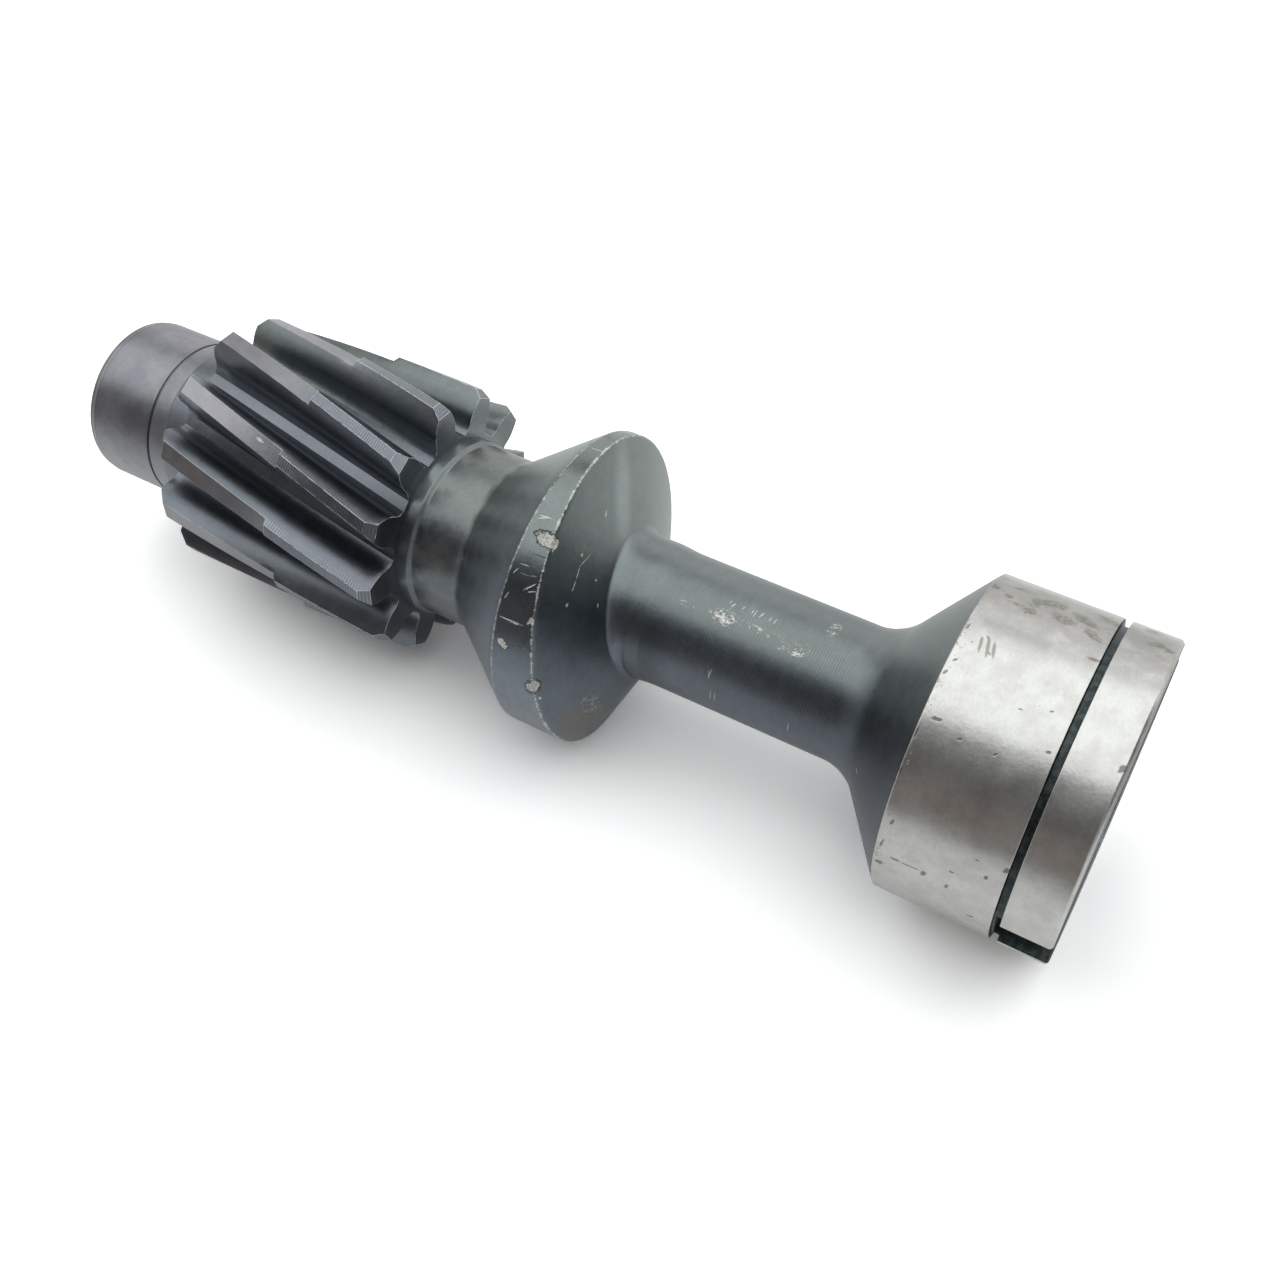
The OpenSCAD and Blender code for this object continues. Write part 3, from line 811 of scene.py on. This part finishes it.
def makeWornEdge():
    f = Finish("wornEdge")
    broken = f.noise(0.9, 4, 0.7, shift=(6, 1, 3))
    grain = f.noise(8, 3, 0.6)
    # rubbed bare, and painted near white as a highlight, brightest on the larger half of the gear
    stepZ = gearZ + gear["tipLength"]
    onLarge = f.fade(f.z, stepZ + 3, stepZ - 1, 0.25, 1.0)
    rubbedAndHighlit = f.times(f.fade(broken, 0.38, 0.52), onLarge)
    colour = f.blend(rubbedAndHighlit, tint["edgeDark"], tint["edgeWornHighlight"])
    colour = f.shade(colour, f.vary(grain, 0.25))
    rough = f.plus(f.times(grain, 0.15), 0.32)
    f.finish(colour, rough, f.times(grain, 0.01), 0.0, metallic=f.fade(rubbedAndHighlit, 0.0, 1.0, 1.0, 0.1))


def makeFinishes():
    for make in (makeBlackFace, makeBlackShank, makeBlackCam, makeBlackNeck, makeBlackGear, makeGroundSteel,
                 makeJournalSteel, makeGrooveBlack, makeWornEdge):
        make()
    print("finishes", [m.name for m in bpy.data.materials if m.name in finishes])


view = dict(
    camera=(-28.317, -113.573, -1.38), right=(0.45418, 0.22006, -0.86331),
    down=(-0.86711, 0.33166, -0.37163), forward=(0.20455, 0.91738, 0.34145), lens=40.404,
    # the table touches the cam's rim; its half sizes, its middle and its near edge are in metres
    tableUp=(0.3584, -0.9336, 0.0), tableDistance=13.63, tableHalf=(0.8, 0.32), tableMiddle=0.15,
    tableEdge=0.15, tableSeen=(1.36, 1.36, 1.37, 1), tableLit=(0.8, 0.8, 0.8, 1),
    shaftMiddle=0.05, room=0.11)


def tableAxes():
    # along the shaft, across the table towards the camera, and up from it
    up = Vector(view["tableUp"]).normalized()
    along = Vector((0, 0, 1))
    front = up.cross(along)
    if front.dot(Vector(view["camera"])) < 0:
        return -along, -front, up
    return along, front, up


def makeTable():
    along, front, up = tableAxes()
    halfLength, halfWidth = view["tableHalf"]
    bm = bmesh.new()
    bmesh.ops.create_grid(bm, x_segments=1, y_segments=1, size=1)
    # it ends close in front of the shaft, where the steel mirrors a dark room
    bmesh.ops.scale(bm, verts=bm.verts, vec=(halfLength, halfWidth, 1))
    bmesh.ops.translate(bm, verts=bm.verts, vec=(0, view["tableEdge"] - halfWidth, 0))
    place = Matrix((along, front, up)).transposed().to_4x4()
    place.translation = -up * view["tableDistance"] * mm + Vector((0, 0, view["tableMiddle"]))
    bmesh.ops.transform(bm, matrix=place, verts=bm.verts)
    table = ringMesh("table", bm)
    material = bpy.data.materials.new("paleTable")
    material.use_nodes = True
    tree = material.node_tree
    tree.nodes.remove(tree.nodes["Principled BSDF"])
    # paler to the camera than to the steel, and clear from below; its mirror image dims towards the edge
    coords = addNode(tree, "TexCoord")
    forward = addNode(tree, "VectorMath", coords.outputs["Object"], front, operation="DOT_PRODUCT")
    mirrored = addNode(tree, "MapRange", forward.outputs["Value"], view["tableEdge"], 0.01, 0.4, 0.95)
    path = addNode(tree, "LightPath")
    shader = addNode(tree, "BsdfDiffuse", view["tableLit"])
    for factor, other in (
            (path.outputs["Is Glossy Ray"], addNode(tree, "BsdfDiffuse", mirrored.outputs["Result"])),
            (path.outputs["Is Camera Ray"], addNode(tree, "BsdfDiffuse", view["tableSeen"])),
            (addNode(tree, "NewGeometry").outputs["Backfacing"], addNode(tree, "BsdfTransparent"))):
        shader = addNode(tree, "MixShader", factor, shader.outputs[0], other.outputs[0])
    tree.links.new(shader.outputs[0], tree.nodes["Material Output"].inputs[0])
    table.data.materials.append(material)
    print("table")


# lights round the shaft's middle: angle from the table's upright towards the camera, half the angle
# that each fills, length and distance in metres, and rise towards the journal
lamps = dict(
    softbox=dict(angle=-8, halfAngle=36, length=1.9, radiance=1.5, colour=(0.97, 1, 0.985), slant=12,
                 shift=0.15),
    paleWall=dict(angle=-69.5, halfAngle=19.5, length=2.4, radiance=1.2, distance=0.9),
    # dim strips in the dark front of the room
    softboxEdge=dict(angle=36, halfAngle=8, length=1.6, radiance=0.12),
    warmWood=dict(angle=80, halfAngle=13, length=1.6, radiance=0.11, colour=(1, 0.76, 0.63)),
    nearGlow=dict(angle=60, halfAngle=22, length=0.2, radiance=0.4, rise=62),
    farGlow=dict(angle=60, halfAngle=22, length=0.3, radiance=0.4, rise=-42),
    endWall=dict(angle=-20, halfAngle=25, length=0.4, radiance=0.6, rise=74, distance=0.7))


def makeLamp(name, angle, halfAngle, length, radiance, colour=(1, 1, 1), rise=0, distance=0.6,
             slant=0, shift=0):
    _, front, up = tableAxes()
    axis = Vector((0, 0, 1))
    outward = up * cos(radians(angle)) + front * sin(radians(angle))
    away = outward * cos(radians(rise)) + axis * sin(radians(rise))
    # its long side runs along the shaft, or at a slant to it
    lengthwise = axis * cos(radians(slant)) + front * sin(radians(slant))
    side = lengthwise.cross(away).normalized()
    turn = Matrix((side, away.cross(side), away)).transposed()
    light = bpy.data.lights.new(name, "AREA")
    light.color = colour
    light.shape = "RECTANGLE"
    light.size = 2 * distance * tan(radians(halfAngle))
    light.size_y = length
    light.energy = radiance * pi * light.size * light.size_y
    ob = bpy.data.objects.new(name, light)
    bpy.context.collection.objects.link(ob)
    ob.location = axis * view["shaftMiddle"] + away * distance + turn @ Vector((0, shift, 0))
    ob.rotation_euler = turn.to_euler()
    ob.visible_camera = False


def makeLights():
    for name, lamp in lamps.items():
        makeLamp(name, **lamp)
    # white to the camera, a dim room to everything else
    world = bpy.data.worlds.new("studio")
    bpy.context.scene.world = world
    world.use_nodes = True
    tree = world.node_tree
    background = tree.nodes["Background"]
    background.inputs["Color"].default_value = (1, 1, 1, 1)
    path = addNode(tree, "LightPath")
    strength = addNode(tree, "MapRange", path.outputs["Is Camera Ray"], 0.0, 1.0, view["room"], 1.0)
    tree.links.new(strength.outputs["Result"], background.inputs["Strength"])
    print("lights")


def makeCamera():
    camera = bpy.data.cameras.new("camera")
    camera.sensor_width = 36
    camera.lens = view["lens"]
    camera.clip_start = 0.002
    ob = bpy.data.objects.new("camera", camera)
    bpy.context.collection.objects.link(ob)
    right, down, forward = (Vector(view[k]) for k in ("right", "down", "forward"))
    place = Matrix((right, -down, -forward)).transposed().to_4x4()
    place.translation = Vector(view["camera"]) * mm
    ob.matrix_world = place
    bpy.context.scene.camera = ob
    print("camera")


makeFinishes()
piece = makeShaft()
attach(piece, "root")
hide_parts("drive_gear_shaft")
makeTable()
makeLights()
makeCamera()
bpy.context.scene.view_settings.view_transform = "Standard"
